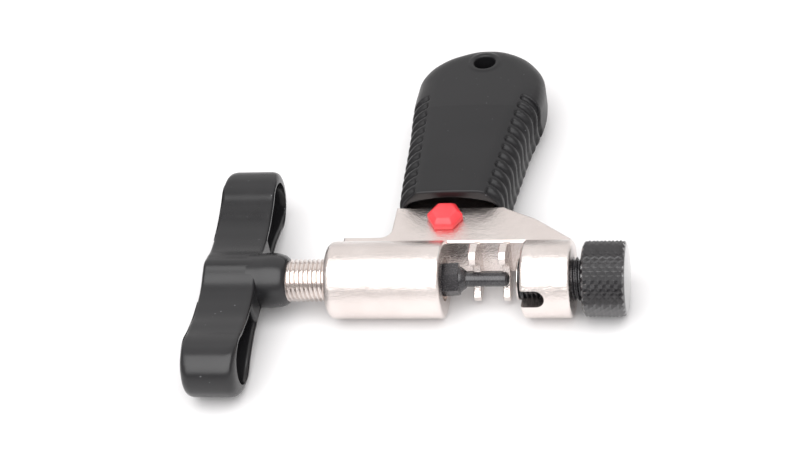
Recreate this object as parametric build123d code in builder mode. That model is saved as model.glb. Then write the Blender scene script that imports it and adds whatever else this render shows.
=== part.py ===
from build123d import *
from math import cos, radians, sin
import os

# Bicycle chain tool, lying flat: +X along the screws towards the knurled knob,
# +Y towards the grip's rounded end, +Z up. The origin is on the surface it rests
# on, under the middle of the tool. Millimetres.

# ---- driving dimensions ----
MOUTH_X = 8.4          # face of the left barrel that looks into the chain trough
AXIS_Y = -26.3         # the common axis of both screws
AXIS_Z = 10.75         # its height: the left barrel rests on the table
THREAD_R = 5.95        # crest of the M12 x 1.25 thread
THREAD_LEAD_IN = 0.4
BORE_R = 6.0           # plain bore that clears the thread

LEFT_BARREL_R = 10.75
LEFT_BARREL_LENGTH = 32.4
LEFT_BARREL_ROUND = 2.0
RIGHT_BARREL_R = 10.7
RIGHT_BARREL_START = 21.9
RIGHT_BARREL_END = 35.5
RIM_FILLET = 1.0
WINDOW_HALF = 2.55     # round-ended window in the right barrel
WINDOW_CENTRE = 25.95
WINDOW_TILT = 12.0     # degrees above the horizon

WEB_HALF = 5.0         # half the thickness of the flat web
WEB_LEFT = -29.6
WEB_SHOULDER_Y = 12.1
WEB_NECK = -16.4
WEB_NECK_ROUND = 3.1
WEB_RIGHT = 34.3
WEB_END_Y = 24.2       # it stops at the grip's mouth, where only the tang goes in
WEB_FILLET = 0.7
TANG_HALF = 3.5
TANG_START = 20.0
TANG_END = 71.0
TANG_WIDE = 13.0
TANG_BEVEL = 4.0

TROUGH_WALL_TOP = 9.8  # distance of the trough's back wall from the axis
TROUGH_WALL_LOW = 8.0
TROUGH_CHAMFER = 0.5
TOOTH_ROWS = (8.35, 16.55)
TOOTH_WIDTH = 2.1
TOOTH_FILLET = 0.3
ROLLER_SEAT_R = 4.2

CAP_X, CAP_Y = -1.6, 19.0
CAP_FLATS = 8.8
CAP_HEIGHT = 3.3
CAP_TAPER = 3.0
CAP_STEM = 3.0
WELL_R = 2.6
WELL_DEPTH = 8.4
SPARE_PIN_R = 1.6
SPARE_PIN_LENGTH = 9.6
SPARE_PIN_GRIP = 1.6   # how far it goes into the cap, above the web

HANDLE_START, HANDLE_END = -67.3, -51.8
HANDLE_HALF = 40.6     # half the length of the T-handle
HANDLE_TILT = 2.0      # degrees, the end away from the grip hangs low
BOSS_END = -43.8
SHANK_START = -64.0    # knurled end of the main screw, moulded into the handle
SHANK_R = 5.0
SCREW_END = -1.2
SOCKET_R = 3.5         # socket in the main screw for the pin holder
SOCKET_DEPTH = 6.3

HOLDER_FLATS = 8.0
HOLDER_START, HOLDER_END = -0.7, 4.1
HOLDER_TIP = 6.0
PIN_R = 2.0
PIN_TIP = 17.8
PIN_HEAD_R = 2.8
PIN_HEAD = (-6.9, -4.7)
RUNNING_FIT = 0.05

SUPPORT_START = 20.8   # inner end of the adjusting screw
BUSH_SLEEVE_R = 3.7
BUSH_SLEEVE_END = 28.8
BUSH_BORE_R = 2.4
BUSH_FLANGE_R = 5.75
KNOB_START, KNOB_END = 38.3, 50.5
KNOB_R = 10.5
KNOB_CHAMFER = 1.1
KNOB_CROWN = 0.4
SPIGOT_R = 4.5         # end of the adjusting screw, pressed into the knob
SPIGOT_LENGTH = 8.0

GRIP_START = 24.5
GRIP_HALF = 10.6
GRIP_TIP_HALF = 8.2
GRIP_TAPER_START = 62.0
GRIP_FILLET = 7.0
MOUTH_WIDE, MOUTH_HIGH, MOUTH_DEEP = 27.6, 16.6, 8.0
MOUTH_CENTRE_X = -0.9
MOUTH_ROUND = 6.3
HOLE_X, HOLE_Y, HOLE_R = 2.7, 83.3, 3.1


def level(height):
    """Level plane at a height above the screw axis, x and y from the trough mouth."""
    return Plane(origin=(MOUTH_X, AXIS_Y, AXIS_Z + height))


def across(x, tilt=0.0):
    """Plane square to the screw axis: its x runs along +Y and its y along +Z."""
    lean = (0, cos(radians(tilt)), sin(radians(tilt)))
    return Plane(origin=(MOUTH_X + x, AXIS_Y, AXIS_Z), x_dir=lean, z_dir=(1, 0, 0))


AXIAL = Plane(origin=(MOUTH_X, AXIS_Y, AXIS_Z), x_dir=(1, 0, 0), z_dir=(0, -1, 0))
SCREW_AXIS = Axis((MOUTH_X, AXIS_Y, AXIS_Z), (1, 0, 0))


def turned_section(points):
    """Face of a lathe-turned piece, given as (x, radius) points, in the axial plane."""
    with BuildSketch(AXIAL) as section:
        with BuildLine():
            Polyline(*points, close=True)
        make_face()
    return section.sketch


def barrel_section(start, end, radius, left_round, right_round):
    """Half section of a barrel with its two outer rims rounded."""
    with BuildSketch(AXIAL) as section:
        with Locations((start, 0)):
            Rectangle(end - start, radius, align=(Align.MIN, Align.MIN))
        left_rim = section.vertices().group_by(Axis.Y)[-1].sort_by(Axis.X)[0]
        fillet(left_rim, left_round)
        right_rim = section.vertices().group_by(Axis.Y)[-1].sort_by(Axis.X)[-1]
        fillet(right_rim, right_round)
    return section.sketch


def tooth_row(x):
    """One row of teeth: an upper and a lower tooth with the roller's seat between them."""
    upper = [(9.4, WEB_HALF - 0.3), (5.2, 8.6), (1.3, 8.8), (-0.4, 7.9), (-0.8, 6.2), (2.65, 3.25)]
    lower = [(y, -z) for y, z in reversed(upper[1:])]
    root = TROUGH_WALL_TOP + 2.2
    with BuildPart() as row:
        with BuildSketch(across(x - TOOTH_WIDTH / 2)):
            with BuildLine():
                Polyline(*upper)
                ThreePointArc(upper[-1], (ROLLER_SEAT_R, 0), lower[0])
                Polyline(*lower, (TROUGH_WALL_LOW + 0.4, -WEB_HALF + 0.3), (root, -WEB_HALF + 0.3),
                         (root, WEB_HALF - 0.3), upper[0])
            make_face()
        extrude(amount=TOOTH_WIDTH)
        fillet(row.edges().filter_by(lambda edge: edge.center().Y - AXIS_Y < root - 1), TOOTH_FILLET)
    return row.part


def tang_outline(gap):
    """Outline of the tang, seen from above, grown by a gap."""
    corner_y = TANG_END - TANG_BEVEL
    wide = TANG_WIDE + gap
    narrow = TANG_WIDE - TANG_BEVEL
    Polyline((-wide, TANG_START), (-wide, corner_y), (-narrow, TANG_END + gap), (narrow, TANG_END + gap),
             (wide, corner_y), (wide - 2, TANG_START), close=True)


def finish(part, label):
    part.label = label
    export_step(part, f"parts/{label}.step")


os.makedirs("parts", exist_ok=True)

# ---- cast body: two barrels, a web, a tang and the chain teeth ----
with BuildPart() as tool_body:
    with BuildSketch(level(-WEB_HALF)):
        neck_start = (WEB_NECK - WEB_NECK_ROUND, WEB_SHOULDER_Y)
        neck_end = (WEB_NECK, WEB_SHOULDER_Y + WEB_NECK_ROUND)
        with BuildLine():
            Polyline((WEB_LEFT, 0), (WEB_LEFT, WEB_SHOULDER_Y), neck_start)
            TangentArc(neck_start, neck_end, tangent=(1, 0))
            Polyline(neck_end, (WEB_NECK + 0.2, WEB_END_Y), (14.3, WEB_END_Y), (17.1, 22.6), (23.9, 19.1),
                     (WEB_RIGHT, 11.0), (WEB_RIGHT, 0), (WEB_LEFT, 0))
        make_face()
    extrude(amount=2 * WEB_HALF)
    web_faces = tool_body.faces().filter_by(Axis.Z)
    fillet(web_faces.edges(), WEB_FILLET)
    with BuildSketch(level(-TANG_HALF)):
        with BuildLine():
            tang_outline(0)
        make_face()
    extrude(amount=2 * TANG_HALF)
    with BuildSketch(across(0)):
        clear = 20
        top = TROUGH_WALL_TOP
        low = TROUGH_WALL_LOW
        bevel = TROUGH_CHAMFER
        with BuildLine():
            Polyline((-clear, clear), (top + bevel, clear), (top + bevel, WEB_HALF), (top, WEB_HALF - bevel),
                     (low, -WEB_HALF + bevel), (low + bevel, -WEB_HALF), (low + bevel, -clear),
                     (-clear, -clear), close=True)
        make_face()
    extrude(amount=RIGHT_BARREL_START, mode=Mode.SUBTRACT)
    for row_x in TOOTH_ROWS:
        add(tooth_row(row_x))
    add(barrel_section(-LEFT_BARREL_LENGTH, 0, LEFT_BARREL_R, LEFT_BARREL_ROUND, RIM_FILLET))
    revolve(axis=SCREW_AXIS)
    add(barrel_section(RIGHT_BARREL_START, RIGHT_BARREL_END, RIGHT_BARREL_R, RIM_FILLET, RIM_FILLET))
    revolve(axis=SCREW_AXIS)
    for start, end in ((-LEFT_BARREL_LENGTH, 0), (RIGHT_BARREL_START, RIGHT_BARREL_END)):
        with BuildSketch(across(start)):
            Circle(BORE_R)
        extrude(amount=end - start, mode=Mode.SUBTRACT)
    window_out = (0, -cos(radians(WINDOW_TILT)), sin(radians(WINDOW_TILT)))
    with BuildSketch(Plane(origin=(MOUTH_X, AXIS_Y, AXIS_Z), x_dir=(1, 0, 0), z_dir=window_out)):
        window_start = RIGHT_BARREL_START - 1
        with Locations(((window_start + WINDOW_CENTRE) / 2, 0)):
            Rectangle(WINDOW_CENTRE - window_start, 2 * WINDOW_HALF)
        with Locations((WINDOW_CENTRE, 0)):
            Circle(WINDOW_HALF)
    extrude(amount=RIGHT_BARREL_R + 2, mode=Mode.SUBTRACT)
    with BuildSketch(level(WEB_HALF)):
        with Locations((CAP_X, CAP_Y)):
            Circle(WELL_R)
    extrude(amount=-WELL_DEPTH, mode=Mode.SUBTRACT)
finish(tool_body.part, "tool_body")

# ---- moulded grip pushed over the tang ----
with BuildPart() as grip_sleeve:
    with BuildSketch(level(-GRIP_HALF)):
        with BuildLine():
            left = [(-15.7, GRIP_START), (-16.4, 50), (-17.1, 74.6)]
            dome = [(-16.1, 81.5), (-12.2, 87.2), (-5.3, 91.4), (2.9, 93.2), (11.2, 91.2), (18, 85.2)]
            right = [(21, 77), (17.75, 53), (13.9, GRIP_START)]
            Spline(*left)
            Spline(left[-1], *dome, right[0])
            Spline(*right)
            Line(right[-1], left[0])
        make_face()
    extrude(amount=2 * GRIP_HALF)
    with BuildSketch(across(-30)):
        with BuildLine():
            half_profile = [(20, GRIP_HALF), (GRIP_TAPER_START, GRIP_HALF), (101, GRIP_TIP_HALF)]
            Polyline(*half_profile, *[(y, -z) for y, z in reversed(half_profile)], close=True)
        make_face()
    extrude(amount=60, mode=Mode.INTERSECT)
    middle_x = MOUTH_X + 1.5
    outline_edges = grip_sleeve.edges().filter_by(
        lambda edge: abs(abs(edge.center().Z - AXIS_Z) - 9.5) < 1.4 and edge.length > 5)
    sides = outline_edges.filter_by(
        lambda edge: abs(edge.center().X - middle_x) > 6 and edge.center().Y - AXIS_Y > GRIP_START + 1)
    tip = outline_edges.filter_by(
        lambda edge: abs(edge.center().X - middle_x) <= 6 and edge.center().Y - AXIS_Y > 85)
    fillet(sides + tip, GRIP_FILLET)
    grip_mouth = (MOUTH_X, AXIS_Y + GRIP_START, AXIS_Z)
    with BuildSketch(Plane(origin=grip_mouth, x_dir=(1, 0, 0), z_dir=(0, -1, 0))):
        with Locations((MOUTH_CENTRE_X, 0)):
            RectangleRounded(MOUTH_WIDE, MOUTH_HIGH, MOUTH_ROUND)
    extrude(amount=-MOUTH_DEEP, mode=Mode.SUBTRACT)
    with BuildSketch(level(-TANG_HALF - RUNNING_FIT)):
        with BuildLine():
            tang_outline(0.1)
        make_face()
    extrude(amount=2 * (TANG_HALF + RUNNING_FIT), mode=Mode.SUBTRACT)
    with BuildSketch(level(-GRIP_HALF)):
        with Locations((HOLE_X, HOLE_Y)):
            Circle(HOLE_R)
    extrude(amount=2 * GRIP_HALF, mode=Mode.SUBTRACT)
finish(grip_sleeve.part, "grip_sleeve")

# ---- main screw with its T-handle, pin holder and driver pin ----
with BuildPart() as main_screw:
    socket_end = SCREW_END - SOCKET_DEPTH
    add(turned_section([(SHANK_START, 0), (SHANK_START, SHANK_R), (BOSS_END, SHANK_R),
                        (BOSS_END, THREAD_R - THREAD_LEAD_IN), (BOSS_END + THREAD_LEAD_IN, THREAD_R),
                        (SCREW_END - THREAD_LEAD_IN, THREAD_R), (SCREW_END, THREAD_R - THREAD_LEAD_IN),
                        (SCREW_END, SOCKET_R), (socket_end, SOCKET_R), (socket_end, 0)]))
    revolve(axis=SCREW_AXIS)
finish(main_screw.part, "main_screw")

with BuildPart() as pin_holder:
    shank_r = SOCKET_R - 0.1
    bore_r = PIN_R + RUNNING_FIT
    head_seat = PIN_HEAD[1] + 0.1
    shank_start = PIN_HEAD[0] - 0.1
    add(turned_section([(shank_start, PIN_HEAD_R + 0.1), (shank_start, shank_r), (SCREW_END + 0.1, shank_r),
                        (SCREW_END + 0.1, 3.9), (HOLDER_START, 4.6), (HOLDER_END, 4.6), (HOLDER_TIP, 2.3),
                        (HOLDER_TIP, bore_r), (head_seat, bore_r), (head_seat, PIN_HEAD_R + 0.1)]))
    revolve(axis=SCREW_AXIS)
    with BuildSketch(across(shank_start - 1)):
        RegularPolygon(HOLDER_FLATS / 2, 6, major_radius=False)
    extrude(amount=HOLDER_TIP - shank_start + 2, mode=Mode.INTERSECT)
finish(pin_holder.part, "pin_holder")

with BuildPart() as driver_pin:
    add(turned_section([(PIN_HEAD[0], 0), (PIN_HEAD[0], PIN_HEAD_R), (PIN_HEAD[1], PIN_HEAD_R),
                        (PIN_HEAD[1], PIN_R), (PIN_TIP - 0.9, PIN_R), (PIN_TIP - 0.3, 1.55),
                        (PIN_TIP, 0.9), (PIN_TIP, 0)]))
    revolve(axis=SCREW_AXIS)
finish(driver_pin.part, "driver_pin")

with BuildPart() as t_handle:
    wing = [(0, 7.5), (3, 6.7), (7, 5.25), (10.5, 4.75), (14, 4.7), (18, 4.9), (21.5, 5.7), (25, 6.4),
            (28, 7.3), (31, 7.7), (33.5, 7.7), (36, 7), (38.3, 5.5), (39.9, 3.1)]
    loop = [(13, 3.1), (18, 3.4), (24, 4.6), (28, 5.7), (31, 6.1), (34, 5.9), (36.5, 4.5)]
    loop_end = HANDLE_HALF - 1.8
    with BuildSketch(across(HANDLE_START, HANDLE_TILT)):
        for side in (1, -1):
            with BuildLine():
                for face in (1, -1):
                    Spline(*[(side * y, face * z) for y, z in wing], (side * HANDLE_HALF, 0),
                           tangents=((side, 0), (0, -face)))
                Line((0, wing[0][1]), (0, -wing[0][1]))
            make_face()
    extrude(amount=HANDLE_END - HANDLE_START)
    with BuildSketch(across(HANDLE_START, HANDLE_TILT)):
        for side in (1, -1):
            with BuildLine():
                for face in (1, -1):
                    Spline(*[(side * y, face * z) for y, z in loop], (side * loop_end, 0),
                           tangents=((side, face * 0.05), (0, -face)))
                Line((side * loop[0][0], loop[0][1]), (side * loop[0][0], -loop[0][1]))
            make_face()
    extrude(amount=HANDLE_END - HANDLE_START, mode=Mode.SUBTRACT)
    boss = [(HANDLE_END - 3, 7.4), (HANDLE_END, 7.5), (-49, 7.7), (-46, 7.4), (-44.4, 6.7), (BOSS_END, 5.9)]
    add(turned_section([(HANDLE_END - 3, 0), *boss, (BOSS_END, 0)]))
    revolve(axis=SCREW_AXIS)
    with BuildSketch(across(SHANK_START)):
        Circle(SHANK_R)
    extrude(amount=BOSS_END - SHANK_START, mode=Mode.SUBTRACT)
finish(t_handle.part, "t_handle")

# ---- adjusting screw with its knob and the bush that backs the chain ----
with BuildPart() as adjusting_screw:
    sleeve_seat_r = BUSH_SLEEVE_R + 0.1
    sleeve_seat_end = BUSH_SLEEVE_END + 0.2
    tip_room_end = KNOB_START - 5
    spigot_end = KNOB_START + SPIGOT_LENGTH
    add(turned_section([(SUPPORT_START, sleeve_seat_r), (SUPPORT_START, THREAD_R - THREAD_LEAD_IN),
                        (SUPPORT_START + THREAD_LEAD_IN, THREAD_R), (KNOB_START, THREAD_R),
                        (KNOB_START, SPIGOT_R), (spigot_end, SPIGOT_R), (spigot_end, 0), (tip_room_end, 0),
                        (tip_room_end, BUSH_BORE_R), (sleeve_seat_end, BUSH_BORE_R),
                        (sleeve_seat_end, sleeve_seat_r)]))
    revolve(axis=SCREW_AXIS)
finish(adjusting_screw.part, "adjusting_screw")

with BuildPart() as support_bush:
    flange_start, flange_end = SUPPORT_START - 0.45, SUPPORT_START - 0.05
    add(turned_section([(flange_start, BUSH_BORE_R), (flange_start, BUSH_FLANGE_R - 0.25),
                        (flange_start + 0.25, BUSH_FLANGE_R), (flange_end, BUSH_FLANGE_R),
                        (flange_end, BUSH_SLEEVE_R), (BUSH_SLEEVE_END, BUSH_SLEEVE_R),
                        (BUSH_SLEEVE_END, BUSH_BORE_R)]))
    revolve(axis=SCREW_AXIS)
finish(support_bush.part, "support_bush")

with BuildPart() as knurled_knob:
    crown_start = KNOB_END - KNOB_CROWN
    add(turned_section([(KNOB_START, SPIGOT_R), (KNOB_START, KNOB_R - 1), (KNOB_START + 1, KNOB_R),
                        (crown_start - KNOB_CHAMFER, KNOB_R), (crown_start, KNOB_R - KNOB_CHAMFER),
                        (KNOB_END - 0.15, 6), (KNOB_END, 0), (spigot_end, 0), (spigot_end, SPIGOT_R)]))
    revolve(axis=SCREW_AXIS)
finish(knurled_knob.part, "knurled_knob")

# ---- spare pin in its red plug ----
with BuildPart() as spare_pin_cap:
    with BuildSketch(level(WEB_HALF)):
        with Locations((CAP_X, CAP_Y)):
            RegularPolygon(CAP_FLATS / 2, 6, major_radius=False)
    extrude(amount=CAP_HEIGHT, taper=CAP_TAPER)
    chamfer(spare_pin_cap.faces().sort_by(Axis.Z)[-1].edges(), 0.7)
    with BuildSketch(level(WEB_HALF)):
        with Locations((CAP_X, CAP_Y)):
            Circle(WELL_R - RUNNING_FIT)
    extrude(amount=-CAP_STEM)
    with BuildSketch(level(WEB_HALF - CAP_STEM)):
        with Locations((CAP_X, CAP_Y)):
            Circle(SPARE_PIN_R)
    extrude(amount=CAP_STEM + SPARE_PIN_GRIP, mode=Mode.SUBTRACT)
finish(spare_pin_cap.part, "spare_pin_cap")

with BuildPart() as spare_pin:
    with BuildSketch(level(WEB_HALF + SPARE_PIN_GRIP)):
        with Locations((CAP_X, CAP_Y)):
            Circle(SPARE_PIN_R)
    extrude(amount=-SPARE_PIN_LENGTH)
    chamfer(spare_pin.faces().sort_by(Axis.Z)[0].edges(), 0.4)
finish(spare_pin.part, "spare_pin")
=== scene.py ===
from math import cos, pi, radians, sin, sqrt

import bpy
from mathutils import Matrix, Vector


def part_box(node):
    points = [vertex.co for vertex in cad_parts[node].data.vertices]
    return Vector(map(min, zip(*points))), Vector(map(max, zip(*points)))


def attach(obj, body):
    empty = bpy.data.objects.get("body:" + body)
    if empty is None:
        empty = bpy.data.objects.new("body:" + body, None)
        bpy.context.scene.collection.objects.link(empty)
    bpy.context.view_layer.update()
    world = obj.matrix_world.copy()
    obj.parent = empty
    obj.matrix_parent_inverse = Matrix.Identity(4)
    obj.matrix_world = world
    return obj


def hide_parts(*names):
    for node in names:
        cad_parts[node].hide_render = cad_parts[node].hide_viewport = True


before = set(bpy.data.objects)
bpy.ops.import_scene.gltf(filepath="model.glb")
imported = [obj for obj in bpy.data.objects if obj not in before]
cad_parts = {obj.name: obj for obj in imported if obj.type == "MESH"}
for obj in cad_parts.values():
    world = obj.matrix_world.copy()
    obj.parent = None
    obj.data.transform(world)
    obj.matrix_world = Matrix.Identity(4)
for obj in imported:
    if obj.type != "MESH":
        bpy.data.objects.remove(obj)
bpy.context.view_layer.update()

# Bicycle chain tool. Pieces are shaped in millimetres about the trough's mouth, with +X along the
# screws and the screw axis through the origin, and then settled into the frame, in metres.

MM = 0.001
SCREW_END = -1.2
screw_low, screw_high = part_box("main_screw")
MOUTH = Vector((screw_high.x - SCREW_END * MM,
                (screw_low.y + screw_high.y) / 2,
                (screw_low.z + screw_high.z) / 2))

# ---- sizes, in millimetres ----
PITCH = 1.25               # M12 x 1.25 thread of both screws
THREAD_R = 5.95
THREAD_DEPTH = 0.72
LEAD_IN = 0.4
SHANK_R = 5.0              # end of the driving screw, inside the handle

HANDLE_START, HANDLE_END = -67.3, -51.8
HANDLE_HALF = 40.6         # half the length of the T-handle
HANDLE_TILT = radians(2)
HANDLE_RIM = 1.1
HANDLE_CORNER = 3.0        # rounding of the wings' four ends, seen from above
CORNER_FROM, CORNER_RUN = 25, 9
BOSS_END = -43.8
FIT = 0.02                 # keeps faces that meet from lying in one plane

KNOB_START, KNOB_END = 38.3, 50.5
KNOB_R = 10.5
KNOB_FACE_R = 9.3
KNURL_DEPTH = 0.85
KNURL_AROUND, KNURL_ALONG = 26, 6
BAND_OVERLAP = 0.4         # how far the knurled band starts before the knob it is cut with
SUPPORT_START = 20.8

HOLDER_FLATS, HOLDER_END, HOLDER_TIP = 8.0, 4.1, 6.0
HOLDER_TURN = radians(-4)

GRIP_START, GRIP_HALF = 24.5, 10.6
GRIP_FILLET = 7.0
TAPER_START, TAPER_DROP, TAPER_RUN = 62, 2.4, 39
CROWN_CENTRE, CROWN_HALF, CROWN_DROP = 1.5, 13, 0.05
GROOVES, TOP_GROOVE_Y, GROOVE_PITCH, GROOVE_R = 12, 66.8, 3.72, 1.2
HOLE_X, HOLE_Y, HOLE_R = 2.7, 83.3, 3.1

CAP_X, CAP_Y, CAP_FLATS, CAP_HEIGHT = -1.6, 19.0, 8.8, 3.3
CAP_CHAMFER = 1.35
WEB_HALF = 5.0


# ---- small helpers ----
def select_only(piece):
    """Selects one piece and nothing else, in object mode."""
    if bpy.context.object and bpy.context.object.mode != "OBJECT":
        bpy.ops.object.mode_set(mode="OBJECT")
    bpy.ops.object.select_all(action="DESELECT")
    piece.select_set(True)
    bpy.context.view_layer.objects.active = piece


def clear_selection():
    bpy.ops.object.select_all(action="DESELECT")


def apply_modifier(piece, kind, **settings):
    """Adds one modifier to a piece and applies it."""
    select_only(piece)
    modifier = piece.modifiers.new(kind.lower(), kind)
    for name, value in settings.items():
        setattr(modifier, name, value)
    bpy.ops.object.modifier_apply(modifier=modifier.name)


def combine(piece, other, operation):
    """Boolean of two closed pieces; the second one is used up."""
    apply_modifier(piece, "BOOLEAN", object=other, operation=operation, solver="EXACT")
    bpy.data.objects.remove(other)


def merge_close(piece, distance):
    """Merges doubled points and turns the faces outwards."""
    select_only(piece)
    bpy.ops.object.mode_set(mode="EDIT")
    bpy.ops.mesh.select_all(action="SELECT")
    bpy.ops.mesh.remove_doubles(threshold=distance)
    bpy.ops.mesh.normals_make_consistent(inside=False)
    bpy.ops.object.mode_set(mode="OBJECT")


def pick(piece, kind, chosen):
    """Leaves a piece in edit mode with only its chosen faces or edges selected."""
    select_only(piece)
    bpy.ops.object.mode_set(mode="EDIT")
    bpy.ops.mesh.select_mode(type=kind)
    bpy.ops.mesh.select_all(action="DESELECT")
    bpy.ops.object.mode_set(mode="OBJECT")
    for part in piece.data.polygons if kind == "FACE" else piece.data.edges:
        part.select = chosen(part)
    bpy.ops.object.mode_set(mode="EDIT")


def smooth(piece, angle):
    select_only(piece)
    bpy.ops.object.shade_smooth_by_angle(angle=radians(angle))


def settle(piece, name, body, slot, material, *nodes):
    """Puts a finished piece, shaped in millimetres, in its place in the frame."""
    select_only(piece)
    piece.name = name
    piece.data.name = name
    piece.scale = (MM, MM, MM)
    piece.location = MOUTH
    bpy.ops.object.transform_apply(location=True, rotation=True, scale=True)
    piece.data.materials.clear()
    piece.data.materials.append(material)
    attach(piece, body)
    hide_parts(*nodes)
    clear_selection()
    return piece


def turned(points, vertices=96):
    """Lathe-turned solid about +X from (x, radius) points, its section drawn out ring by ring."""
    clear_selection()
    x, radius = points[0]
    bpy.ops.mesh.primitive_circle_add(vertices=vertices, radius=radius, fill_type="NGON",
                                      location=(x, 0, 0), rotation=(0, pi / 2, 0))
    piece = bpy.context.object
    bpy.ops.object.transform_apply(location=True, rotation=True, scale=True)
    bpy.ops.object.mode_set(mode="EDIT")
    bpy.ops.mesh.select_all(action="SELECT")
    for next_x, next_radius in points[1:]:
        bpy.ops.mesh.extrude_region_move(TRANSFORM_OT_translate={"value": (next_x - x, 0, 0)})
        share = next_radius / radius
        bpy.ops.transform.resize(value=(1, share, share), center_override=(next_x, 0, 0))
        x, radius = next_x, next_radius
    bpy.ops.mesh.select_all(action="SELECT")
    bpy.ops.mesh.normals_make_consistent(inside=False)
    bpy.ops.object.mode_set(mode="OBJECT")
    return piece


def wire(points):
    """Open wire through (x, y, z) points, as a mesh."""
    line = bpy.data.curves.new("wire", "CURVE")
    line.dimensions = "3D"
    run = line.splines.new("POLY")
    run.points.add(len(points) - 1)
    for spot, point in zip(run.points, points):
        spot.co = (*point, 1)
    piece = bpy.data.objects.new("wire", line)
    bpy.context.collection.objects.link(piece)
    select_only(piece)
    bpy.ops.object.convert(target="MESH")
    return bpy.context.object


def threaded_rod(start, end):
    """Right-hand M12 x 1.25 thread between two places on the axis, cut square at both ends."""
    root = THREAD_R - THREAD_DEPTH
    section = [(0, root), (0.1, root), (0.42, THREAD_R), (0.58, THREAD_R), (0.9, root), (1, root)]
    rod = wire([(start + (share - 1) * PITCH, 0, radius) for share, radius in section])
    turns = int((end - start) / PITCH) + 3
    apply_modifier(rod, "SCREW", axis="X", screw_offset=PITCH, iterations=turns, steps=48,
                   render_steps=48, use_normal_calculate=True)
    bpy.ops.object.mode_set(mode="EDIT")
    bpy.ops.mesh.select_all(action="SELECT")
    bpy.ops.mesh.remove_doubles(threshold=0.01)
    for x, towards in ((start, -1), (end, 1)):
        bpy.ops.mesh.select_all(action="SELECT")
        bpy.ops.mesh.bisect(plane_co=(x, 0, 0), plane_no=(towards, 0, 0), use_fill=True, clear_outer=True)
    bpy.ops.mesh.select_all(action="SELECT")
    bpy.ops.mesh.normals_make_consistent(inside=False)
    bpy.ops.object.mode_set(mode="OBJECT")
    return rod


def drawn_plate(outlines, thickness, rim, steps=4):
    """Plate with rounded rims, lying in its own XY plane: closed outlines of (x, y, corner) points."""
    flat = bpy.data.curves.new("plate", "CURVE")
    flat.dimensions = "2D"
    flat.fill_mode = "BOTH"
    flat.resolution_u = 10
    flat.extrude = thickness / 2 - rim
    flat.bevel_depth = rim
    flat.bevel_resolution = steps
    flat.offset = -rim
    for outline in outlines:
        loop = flat.splines.new("BEZIER")
        loop.bezier_points.add(len(outline) - 1)
        loop.use_cyclic_u = True
        for spot, (x, y, corner) in zip(loop.bezier_points, outline):
            spot.co = (x, y, 0)
            spot.handle_left_type = spot.handle_right_type = "VECTOR" if corner else "AUTO"
    piece = bpy.data.objects.new("plate", flat)
    bpy.context.collection.objects.link(piece)
    select_only(piece)
    bpy.ops.object.convert(target="MESH")
    piece = bpy.context.object
    merge_close(piece, 0.001)
    return piece


def place(piece, matrix):
    """Moves and turns a piece, and keeps its place in its mesh."""
    select_only(piece)
    piece.matrix_world = matrix
    bpy.ops.object.transform_apply(location=True, rotation=True, scale=True)


def cylinder(x, y, low, high, radius, vertices=64):
    """Upright cylinder between two heights."""
    clear_selection()
    bpy.ops.mesh.primitive_cylinder_add(vertices=vertices, radius=radius, depth=high - low,
                                        location=(x, y, (low + high) / 2))
    bpy.ops.object.transform_apply(location=True, rotation=True, scale=True)
    return bpy.context.object


def block(low, high):
    """Box between two corners."""
    clear_selection()
    middle = [(a + b) / 2 for a, b in zip(low, high)]
    bpy.ops.mesh.primitive_cube_add(size=1, location=middle, scale=[b - a for a, b in zip(low, high)])
    bpy.ops.object.transform_apply(location=True, rotation=True, scale=True)
    return bpy.context.object


def tube(points, radius):
    """Round bar through (x, y, z) points, with closed ends."""
    line = bpy.data.curves.new("tube", "CURVE")
    line.dimensions = "3D"
    line.bevel_depth = radius
    line.bevel_resolution = 3
    line.use_fill_caps = True
    run = line.splines.new("POLY")
    run.points.add(len(points) - 1)
    for spot, where in zip(run.points, points):
        spot.co = (*where, 1)
    piece = bpy.data.objects.new("tube", line)
    bpy.context.collection.objects.link(piece)
    select_only(piece)
    bpy.ops.object.convert(target="MESH")
    return bpy.context.object


# ---- finishes ----
def finish(name, colour, metallic, roughness):
    """New material with its base values, and its shader."""
    material = bpy.data.materials.new(name)
    material.use_nodes = True
    shader = material.node_tree.nodes["Principled BSDF"]
    shader.inputs["Base Color"].default_value = (*colour, 1)
    shader.inputs["Metallic"].default_value = metallic
    shader.inputs["Roughness"].default_value = roughness
    return material, shader


def noise(tree, scale, detail=2.0, roughness=0.5):
    """Noise over the object's own place, so that its grain is the same size all over."""
    where = tree.nodes.get("where") or tree.nodes.new("ShaderNodeTexCoord")
    where.name = "where"
    pattern = tree.nodes.new("ShaderNodeTexNoise")
    pattern.inputs["Scale"].default_value = scale
    pattern.inputs["Detail"].default_value = detail
    pattern.inputs["Roughness"].default_value = roughness
    tree.links.new(where.outputs["Object"], pattern.inputs["Vector"])
    return pattern


def spread(tree, source, low, high, out_low, out_high):
    """Value that goes from out_low to out_high as the source goes from low to high."""
    ramp = tree.nodes.new("ShaderNodeMapRange")
    for socket, value in zip(("From Min", "From Max", "To Min", "To Max"), (low, high, out_low, out_high)):
        ramp.inputs[socket].default_value = value
    tree.links.new(source, ramp.inputs["Value"])
    return ramp.outputs["Result"]


def tint(tree, source, dark, light):
    """Colour between two tints, driven by a value from 0 to 1."""
    mix = tree.nodes.new("ShaderNodeMix")
    mix.data_type = "RGBA"
    mix.inputs[6].default_value = (*dark, 1)
    mix.inputs[7].default_value = (*light, 1)
    tree.links.new(source, mix.inputs[0])
    return mix.outputs[2]


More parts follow.
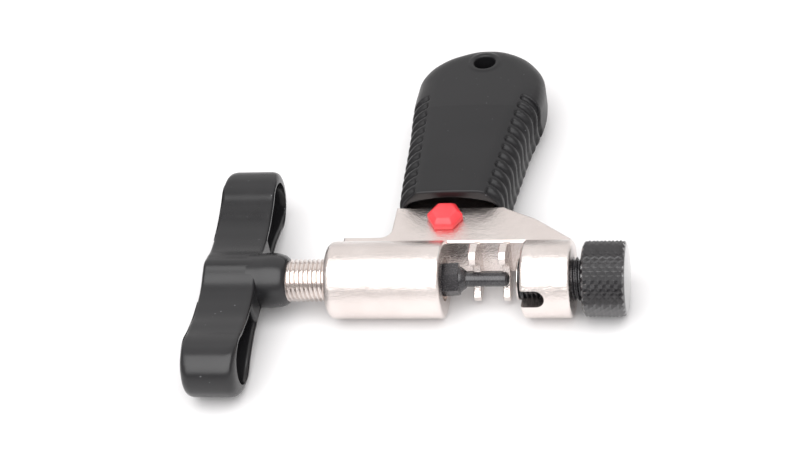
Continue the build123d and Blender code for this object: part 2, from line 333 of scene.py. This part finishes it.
def roughen(tree, shader, *layers):
    """Bumps on top of each other, each of them (height, depth in metres, strength)."""
    before = None
    for height, depth, strength in layers:
        bump = tree.nodes.new("ShaderNodeBump")
        bump.inputs["Distance"].default_value = depth
        bump.inputs["Strength"].default_value = strength
        tree.links.new(height, bump.inputs["Height"])
        if before:
            tree.links.new(before, bump.inputs["Normal"])
        before = bump.outputs["Normal"]
    tree.links.new(before, shader.inputs["Normal"])


def nickel_casting():
    """Satin nickel plate over a slightly grainy casting."""
    material, shader = finish("nickel_casting", (0.80, 0.75, 0.72), 1.0, 0.22)
    tree = material.node_tree
    grain = noise(tree, 2000, 3.0, 0.65)
    waves = noise(tree, 320, 2.0)
    cloud = noise(tree, 90, 2.0)
    tree.links.new(tint(tree, spread(tree, cloud.outputs["Fac"], 0.35, 0.65, 0, 1),
                        (0.76, 0.69, 0.66), (0.81, 0.745, 0.715)), shader.inputs["Base Color"])
    tree.links.new(spread(tree, grain.outputs["Fac"], 0.3, 0.7, 0.14, 0.26), shader.inputs["Roughness"])
    roughen(tree, shader, (grain.outputs["Fac"], 0.00016, 1.0), (waves.outputs["Fac"], 0.0002, 0.6))
    return material


def nickel_screw():
    """Bright nickel plate over a rolled thread."""
    material, shader = finish("nickel_screw", (0.80, 0.74, 0.71), 1.0, 0.2)
    tree = material.node_tree
    grain = noise(tree, 1800, 2.0)
    tree.links.new(spread(tree, grain.outputs["Fac"], 0.3, 0.7, 0.16, 0.26), shader.inputs["Roughness"])
    roughen(tree, shader, (grain.outputs["Fac"], 0.00003, 0.3))
    return material


def black_plastic(name, level, gloss, shine):
    """Satin moulded plastic with a fine texture and a few pale specks of dust."""
    material, shader = finish(name, (level, level, level * 1.1), 0.0, gloss)
    shader.inputs["Specular IOR Level"].default_value = shine
    tree = material.node_tree
    grain = noise(tree, 3200, 2.0)
    cloud = noise(tree, 70, 3.0)
    dust = noise(tree, 1300, 0.0)
    base = tint(tree, spread(tree, cloud.outputs["Fac"], 0.35, 0.65, 0, 1),
                (level * 0.88, level * 0.87, level * 0.97), (level * 1.12, level * 1.1, level * 1.22))
    speck = tree.nodes.new("ShaderNodeMix")
    speck.data_type = "RGBA"
    speck.inputs[7].default_value = (0.13, 0.13, 0.14, 1)
    tree.links.new(spread(tree, dust.outputs["Fac"], 0.86, 0.9, 0, 1), speck.inputs[0])
    tree.links.new(base, speck.inputs[6])
    tree.links.new(speck.outputs[2], shader.inputs["Base Color"])
    tree.links.new(spread(tree, cloud.outputs["Fac"], 0.3, 0.7, gloss - 0.04, gloss + 0.04),
                   shader.inputs["Roughness"])
    roughen(tree, shader, (grain.outputs["Fac"], 0.00002, 0.35))
    return material


def black_oxide():
    """Blackened steel, slightly uneven."""
    material, shader = finish("black_oxide", (0.04, 0.038, 0.042), 0.3, 0.24)
    shader.inputs["Specular IOR Level"].default_value = 0.8
    tree = material.node_tree
    grain = noise(tree, 2200, 3.0, 0.6)
    cloud = noise(tree, 240, 2.0)
    tree.links.new(tint(tree, spread(tree, cloud.outputs["Fac"], 0.35, 0.65, 0, 1),
                        (0.024, 0.023, 0.026), (0.045, 0.043, 0.046)), shader.inputs["Base Color"])
    tree.links.new(spread(tree, grain.outputs["Fac"], 0.3, 0.7, 0.2, 0.32), shader.inputs["Roughness"])
    roughen(tree, shader, (grain.outputs["Fac"], 0.00004, 0.4))
    return material


def knob_oxide():
    """Blackened steel with a film of oil, for the knob."""
    material, shader = finish("knob_oxide", (0.015, 0.014, 0.016), 0.0, 0.2)
    shader.inputs["Specular IOR Level"].default_value = 1.0
    shader.inputs["Coat Weight"].default_value = 0.9
    shader.inputs["Coat Roughness"].default_value = 0.15
    tree = material.node_tree
    grain = noise(tree, 1600, 2.0)
    cloud = noise(tree, 300, 2.0)
    tree.links.new(tint(tree, spread(tree, cloud.outputs["Fac"], 0.35, 0.65, 0, 1),
                        (0.012, 0.011, 0.013), (0.024, 0.023, 0.025)), shader.inputs["Base Color"])
    tree.links.new(spread(tree, grain.outputs["Fac"], 0.3, 0.7, 0.16, 0.26), shader.inputs["Roughness"])
    roughen(tree, shader, (grain.outputs["Fac"], 0.00003, 0.3))
    return material


def red_plastic():
    """Red moulded plastic, satin."""
    material, shader = finish("red_plastic", (0.82, 0.05, 0.06), 0.0, 0.34)
    tree = material.node_tree
    grain = noise(tree, 1500, 2.0)
    cloud = noise(tree, 300, 1.0)
    tree.links.new(tint(tree, spread(tree, cloud.outputs["Fac"], 0.35, 0.65, 0, 1),
                        (0.80, 0.045, 0.055), (0.88, 0.06, 0.07)), shader.inputs["Base Color"])
    roughen(tree, shader, (grain.outputs["Fac"], 0.00003, 0.3))
    return material


CASTING = nickel_casting()
SCREW_PLATE = nickel_screw()
PLASTIC = black_plastic("black_plastic", 0.011, 0.30, 0.5)
GRIP_PLASTIC = black_plastic("grip_plastic", 0.010, 0.40, 0.36)
OXIDE = black_oxide()
KNOB_OXIDE = knob_oxide()
RED = red_plastic()

for node, material in {"tool_body": CASTING, "driver_pin": OXIDE, "support_bush": SCREW_PLATE,
                       "spare_pin": OXIDE}.items():
    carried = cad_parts[node]
    carried.data.materials.clear()
    carried.data.materials.append(material)


# ---- screws ----
def main_screw():
    """Driving screw: rolled thread, plain shank inside the handle, socket for the pin holder."""
    rod = threaded_rod(BOSS_END - 1, 0)
    blank = turned([(BOSS_END - 0.5, 5.6), (BOSS_END, 6.3), (SCREW_END - LEAD_IN, THREAD_R + FIT),
                    (SCREW_END, THREAD_R - THREAD_DEPTH), (SCREW_END, 3.5), (-7.5, 3.5)])
    combine(rod, blank, "INTERSECT")
    shank = turned([(-64, SHANK_R - 0.3), (-63.7, SHANK_R), (BOSS_END + 1, SHANK_R)])
    combine(rod, shank, "UNION")
    smooth(rod, 35)
    return settle(rod, "driving_screw_thread", "driving_screw", "nickel_screw", SCREW_PLATE, "main_screw")


def adjusting_screw():
    """Support screw: black rolled thread with its seat for the bush."""
    rod = threaded_rod(SUPPORT_START - 1, KNOB_START + 1)
    blank = turned([(29, 3.8), (SUPPORT_START, 3.8), (SUPPORT_START, THREAD_R - THREAD_DEPTH),
                    (SUPPORT_START + 0.5, THREAD_R + FIT), (KNOB_START, THREAD_R + FIT), (KNOB_START, 4.5),
                    (KNOB_START + 8, 4.5)])
    combine(rod, blank, "INTERSECT")
    smooth(rod, 35)
    return settle(rod, "support_screw_thread", "support_screw", "black_oxide_steel", OXIDE, "adjusting_screw")


# ---- T-handle ----
def handle_outlines():
    """Outline of both wings, and of the loop's opening in each of them, as (y, z, corner) points."""
    wing = [(3, 6.7), (7, 5.25), (10.5, 4.75), (14, 4.7), (18, 4.9), (21.5, 5.7), (25, 6.4), (28, 7.3),
            (31, 7.7), (33.5, 7.7), (36, 7), (38.3, 5.5), (39.9, 3.1)]
    loop = [(18, 3.4), (24, 4.6), (28, 5.7), (31, 6.1), (34, 5.9), (36.5, 4.5)]
    top = [(0, 7.5, False), *[(y, z, False) for y, z in wing], (HANDLE_HALF, 0, False)]
    low = [(y, -z, False) for y, z, _ in reversed(top[:-1])]
    right = top + low
    outlines = [right + [(-y, z, corner) for y, z, corner in reversed(right[1:-1])]]
    for side in (1, -1):
        upper = [(side * 13, 3.1, True), *[(side * y, z, False) for y, z in loop],
                 (side * (HANDLE_HALF - 1.8), 0, False)]
        outlines.append(upper + [(y, -z, corner) for y, z, corner in reversed(upper[:-1])])
    return outlines


def round_wing_ends(handle):
    """Rounds the four ends of the wings, seen from above, the loops' inner walls with them."""
    select_only(handle)
    bpy.ops.object.mode_set(mode="EDIT")
    for inset in (1.4, 1.9, 2.5, 3.2):
        for x in (HANDLE_START + inset, HANDLE_END - inset):
            bpy.ops.mesh.select_all(action="SELECT")
            bpy.ops.mesh.bisect(plane_co=(x, 0, 0), plane_no=(1, 0, 0))
    bpy.ops.object.mode_set(mode="OBJECT")
    for vertex in handle.data.vertices:
        depth = min(vertex.co.x - HANDLE_START, HANDLE_END - vertex.co.x)
        miss = min(max(HANDLE_CORNER - depth, 0), HANDLE_CORNER)
        share = min(max((abs(vertex.co.y) - CORNER_FROM) / CORNER_RUN, 0), 1)
        arc = HANDLE_CORNER - sqrt(HANDLE_CORNER ** 2 - miss ** 2)
        draw_in = arc * share * share * (3 - 2 * share)
        vertex.co.y -= draw_in if vertex.co.y > 0 else -draw_in


def t_handle():
    """Moulded handle: two looped wings that swell over the screw, and a waisted boss on the tool's side."""
    handle = drawn_plate(handle_outlines(), HANDLE_END - HANDLE_START, HANDLE_RIM)
    upright = Matrix(((0, 0, 1, 0), (1, 0, 0, 0), (0, 1, 0, 0), (0, 0, 0, 1)))
    middle = Matrix.Translation(((HANDLE_START + HANDLE_END) / 2, 0, 0))
    place(handle, middle @ upright)
    round_wing_ends(handle)
    place(handle, Matrix.Rotation(HANDLE_TILT, 4, "X"))
    boss = turned([(HANDLE_END - 3, 5.5), (HANDLE_END - 3, 7.4), (HANDLE_END + 0.6, 7.55), (-50.4, 7.65),
                   (-49, 7.7), (-47.4, 7.6), (-46, 7.35), (-45, 7.0), (-44.4, 6.6), (-44, 6.2),
                   (BOSS_END, 5.7)])
    combine(handle, boss, "UNION")
    bore = turned([(-64.02, SHANK_R + FIT), (BOSS_END + 1, SHANK_R + FIT)])
    combine(handle, bore, "DIFFERENCE")
    smooth(handle, 40)
    return settle(handle, "moulded_t_handle", "driving_screw", "black_plastic", PLASTIC, "t_handle")


# ---- grip ----
def edge_x(side, y):
    """The grip's edge, seen from above, between the mouth and the dome."""
    share = (y - GRIP_START) / (75 - GRIP_START)
    if side < 0:
        return -15.7 - 1.4 * share
    return 13.9 + 6.9 * share


def rib_groove(side, y):
    """Cutter of one groove: from the top, round the edge to the side, and back along the underside."""
    path = []
    centre = edge_x(side, y) - side * GRIP_FILLET
    radius = GRIP_FILLET + 0.1
    top_angle = 74 if side < 0 else 68
    for step in range(9):
        share = 1 - step / 8
        a = radians(top_angle * share)
        path.append((centre + side * radius * cos(a),
                     y - 1.7 * (1 - share),
                     GRIP_HALF - GRIP_FILLET + radius * sin(a)))
    path.append((centre + side * radius, y - 2.5, 1.2))
    path += [(x, groove_y, -z) for x, groove_y, z in reversed(path)]
    return tube(path, GROOVE_R)


def cut_grooves(sleeve):
    """Cuts the row of grooves into both edges, all with one cutter."""
    cutters = [rib_groove(side, TOP_GROOVE_Y - GROOVE_PITCH * n) for side in (-1, 1) for n in range(GROOVES)]
    clear_selection()
    for cutter in cutters:
        cutter.select_set(True)
    bpy.context.view_layer.objects.active = cutters[0]
    bpy.ops.object.join()
    combine(sleeve, cutters[0], "DIFFERENCE")


def cut_mouth(sleeve):
    """Opens the arched mouth, and the pocket of the tang behind it."""
    arch = [(-13.9, 0), (-13.8, 4), (-12.6, 6), (-10.4, 6.9), (-6.8, 7.6), (-1.6, 8.1), (3.5, 7.7), (7, 7.1),
            (10.2, 6.2), (12.2, 4.6), (12.5, 0)]
    outline = [(x, z, False) for x, z in arch] + [(x, -z, False) for x, z in reversed(arch[1:-1])]
    mouth = drawn_plate([outline], 16, 0)
    place(mouth, Matrix.Translation((0, GRIP_START, 0)) @ Matrix.Rotation(pi / 2, 4, "X"))
    combine(sleeve, mouth, "DIFFERENCE")
    combine(sleeve, block((-13.2, 20, -3.9), (13.2, 71.2, 3.9)), "DIFFERENCE")


def cut_hanging_hole(sleeve):
    """Raises a soft rim on both faces, and drills the hole through them."""
    for face in (1, -1):
        clear_selection()
        bpy.ops.mesh.primitive_torus_add(location=(HOLE_X, HOLE_Y, face * (GRIP_HALF - 0.75)),
                                         major_radius=4.1, minor_radius=1.1,
                                         major_segments=64, minor_segments=16)
        rim = bpy.context.object
        bpy.ops.object.transform_apply(location=True, rotation=True, scale=True)
        combine(sleeve, rim, "UNION")
    combine(sleeve, cylinder(HOLE_X, HOLE_Y, -20, 20, HOLE_R), "DIFFERENCE")


def thin_towards_end(sleeve):
    """Thins the grip towards its rounded end, and crowns its two faces."""
    for vertex in sleeve.data.vertices:
        x, y, z = vertex.co
        taper = 1 - max(y - TAPER_START, 0) * TAPER_DROP / TAPER_RUN / GRIP_HALF
        crown = 1 - CROWN_DROP * min(((x - CROWN_CENTRE) / CROWN_HALF) ** 2, 1.5)
        vertex.co.z = z * taper * crown


def grip():
    """Moulded grip: ribbed edges, smooth dome with a hanging hole, and an arched mouth over the web."""
    left = [(-13.6, 5, True), (-15.7, GRIP_START, False), (-16.4, 50, False), (-17.1, 74.6, False)]
    dome = [(-16.1, 81.5), (-12.2, 87.2), (-5.3, 91.4), (2.9, 93.2), (11.2, 91.2), (18, 85.2)]
    right = [(21, 77, False), (17.75, 53, False), (13.9, GRIP_START, False), (11.4, 5, True)]
    outline = left + [(x, y, False) for x, y in dome] + right
    sleeve = drawn_plate([outline], 2 * GRIP_HALF, GRIP_FILLET, steps=10)
    combine(sleeve, block((-30, -20, -20), (30, GRIP_START, 20)), "DIFFERENCE")
    cut_grooves(sleeve)
    cut_mouth(sleeve)
    cut_hanging_hole(sleeve)
    apply_modifier(sleeve, "REMESH", mode="VOXEL", voxel_size=0.37)
    apply_modifier(sleeve, "SMOOTH", factor=0.5, iterations=3)
    thin_towards_end(sleeve)
    bpy.ops.object.shade_smooth()
    return settle(sleeve, "ribbed_grip", "frame", "black_plastic", GRIP_PLASTIC, "grip_sleeve")


# ---- pin holder ----
def pin_holder():
    """Hexagonal holder of the driver pin, its edges broken, on a round shank."""
    clear_selection()
    bpy.ops.mesh.primitive_cylinder_add(vertices=6, radius=HOLDER_FLATS / sqrt(3),
                                        depth=HOLDER_END - SCREW_END - 0.1,
                                        location=((HOLDER_END + SCREW_END + 0.1) / 2, 0, 0),
                                        rotation=(HOLDER_TURN, pi / 2, 0))
    holder = bpy.context.object
    bpy.ops.object.transform_apply(location=True, rotation=True, scale=True)
    tip = [(HOLDER_END + 0.5, 3.4), (HOLDER_TIP - 0.2, 2.5), (HOLDER_TIP, 2.3)]
    nose = turned([(SCREW_END + 0.1, 3.9), (SCREW_END + 0.7, 4.75), (HOLDER_END - 0.2, 4.75), *tip])
    neck = turned([(HOLDER_END - 1, 3.6), *tip])
    combine(holder, nose, "INTERSECT")
    combine(holder, neck, "UNION")
    combine(holder, turned([(-7, 3.4), (SCREW_END + 0.6, 3.4)]), "UNION")
    combine(holder, turned([(-8, 2.9), (-4.6, 2.9), (-4.6, 2.05), (HOLDER_TIP + 1, 2.05)]), "DIFFERENCE")
    smooth(holder, 30)
    return settle(holder, "hexagonal_pin_holder", "driving_screw", "black_oxide_steel", OXIDE, "pin_holder")


# ---- red plug ----
def spare_pin_plug():
    """Hexagonal plug with a broad chamfer around its flat top, and a stem bored for the spare pin."""
    corner_r = CAP_FLATS / sqrt(3)
    head = cylinder(CAP_X, CAP_Y, WEB_HALF, WEB_HALF + CAP_HEIGHT, corner_r, vertices=6)
    bpy.ops.object.mode_set(mode="EDIT")
    bpy.ops.mesh.select_all(action="SELECT")
    bpy.ops.transform.rotate(value=radians(30), orient_axis="Z", center_override=(CAP_X, CAP_Y, 0))
    pick(head, "EDGE", lambda edge: all(head.data.vertices[v].co.z > WEB_HALF + 1 for v in edge.vertices))
    bpy.ops.mesh.bevel(offset=CAP_CHAMFER, segments=1, affect="EDGES")
    bpy.ops.object.mode_set(mode="OBJECT")
    apply_modifier(head, "BEVEL", width=0.3, segments=3, limit_method="ANGLE", angle_limit=radians(20))
    combine(head, cylinder(CAP_X, CAP_Y, WEB_HALF - 3, WEB_HALF + 0.5, 2.55), "UNION")
    combine(head, cylinder(CAP_X, CAP_Y, WEB_HALF - 4, WEB_HALF + 1.6, 1.6), "DIFFERENCE")
    smooth(head, 35)
    return settle(head, "red_hexagonal_plug", "spare_plug", "red_plastic", RED, "spare_pin_cap")


# ---- knurled knob ----
def knurled_band():
    """Closed band covered with low pyramids on a diamond grid."""
    start = KNOB_START - BAND_OVERLAP
    rows = [start + (KNOB_END - start) * n / KNURL_ALONG for n in range(KNURL_ALONG + 1)]
    band = turned([(x, KNOB_R - KNURL_DEPTH) for x in rows], vertices=KNURL_AROUND)
    grid_corners = len(band.data.vertices)

    def grid_line(edge):
        places = [band.data.vertices[v].co.x for v in edge.vertices]
        at_end = any(abs(places[0] - x) < 1e-4 and abs(places[1] - x) < 1e-4 for x in (rows[0], rows[-1]))
        return max(edge.vertices) < grid_corners and not at_end

    pick(band, "FACE", lambda face: len(face.vertices) == 4)
    bpy.ops.mesh.poke()
    pick(band, "EDGE", grid_line)
    bpy.ops.mesh.dissolve_edges(use_verts=False)
    pick(band, "FACE", lambda face: len(face.vertices) == 4)
    bpy.ops.mesh.poke(offset=KNURL_DEPTH)
    bpy.ops.mesh.select_all(action="SELECT")
    bpy.ops.mesh.normals_make_consistent(inside=False)
    bpy.ops.object.mode_set(mode="OBJECT")
    return band


def knurled_knob():
    """Knob with a diamond knurl, chamfered at both ends, and a slightly crowned face."""
    band = knurled_band()
    crown = [(KNOB_END - 0.4 + 0.4 * (1 - (r / KNOB_FACE_R) ** 2), r)
             for r in (KNOB_FACE_R, 7.5, 5.5, 3.5, 1.5, 0.3)]
    blank = turned([(KNOB_START, 4.6), (KNOB_START, 9.3), (KNOB_START + 0.35, 9.85),
                    (KNOB_START + 1.1, KNOB_R + 0.1), (KNOB_END - 1.5, KNOB_R + 0.1), (KNOB_END - 0.8, 9.9),
                    *crown])
    combine(band, blank, "INTERSECT")
    smooth(band, 28)
    return settle(band, "knurled_support_knob", "support_screw", "black_oxide_steel", KNOB_OXIDE,
                  "knurled_knob")


main_screw()
adjusting_screw()
t_handle()
grip()
pin_holder()
spare_pin_plug()
knurled_knob()


# ---- floor, light and camera ----
def studio():
    """Pale floor, an overhead softbox in front, and a dim panel behind for the metal to reflect."""
    clear_selection()
    bpy.ops.mesh.primitive_plane_add(size=6, location=(0, 0, 0))
    floor = bpy.context.object
    floor.name = "floor"
    material, shader = finish("floor_white", (0.80, 0.795, 0.80), 0.0, 0.6)
    floor.data.materials.append(material)
    world = bpy.data.worlds.new("studio")
    bpy.context.scene.world = world
    world.use_nodes = True
    sky = world.node_tree.nodes["Background"]
    sky.inputs["Color"].default_value = (0.93, 0.90, 0.89, 1)
    sky.inputs["Strength"].default_value = 0.5
    for name, azimuth, elevation, distance, size, power in (
            ("overhead_softbox", 0, 63, 0.9, (1.5, 1.2), 17.0),
            ("back_panel", 180, 40, 1.6, (3.0, 1.8), 9.5)):
        lamp = bpy.data.lights.new(name, "AREA")
        lamp.shape = "RECTANGLE"
        lamp.size, lamp.size_y = size
        lamp.energy = power
        box = bpy.data.objects.new(name, lamp)
        bpy.context.collection.objects.link(box)
        a, e = radians(azimuth), radians(elevation)
        back = Vector((sin(a) * cos(e), -cos(a) * cos(e), sin(e)))
        box.location = MOUTH + back * distance
        box.rotation_mode = "QUATERNION"
        box.rotation_quaternion = back.to_track_quat("Z", "Y")


def camera():
    """Long lens, in front and above, a little to the right of the trough."""
    lens = bpy.data.cameras.new("camera")
    lens.lens = 104.46
    lens.sensor_width = 36
    lens.clip_start, lens.clip_end = 0.01, 20
    eye = bpy.data.objects.new("camera", lens)
    bpy.context.collection.objects.link(eye)
    right = Vector((0.97991, 0.13945, -0.14259)).normalized()
    back = Vector((0.19921, -0.71933, 0.66549)).normalized()
    up = back.cross(right).normalized()
    right = up.cross(back)
    turn = Matrix((right, up, back)).transposed().to_4x4()
    eye.matrix_world = Matrix.Translation(MOUTH + Vector((0.111997, -0.445143, 0.430516))) @ turn
    bpy.context.scene.camera = eye


studio()
camera()
bpy.context.scene.view_settings.view_transform = "Standard"
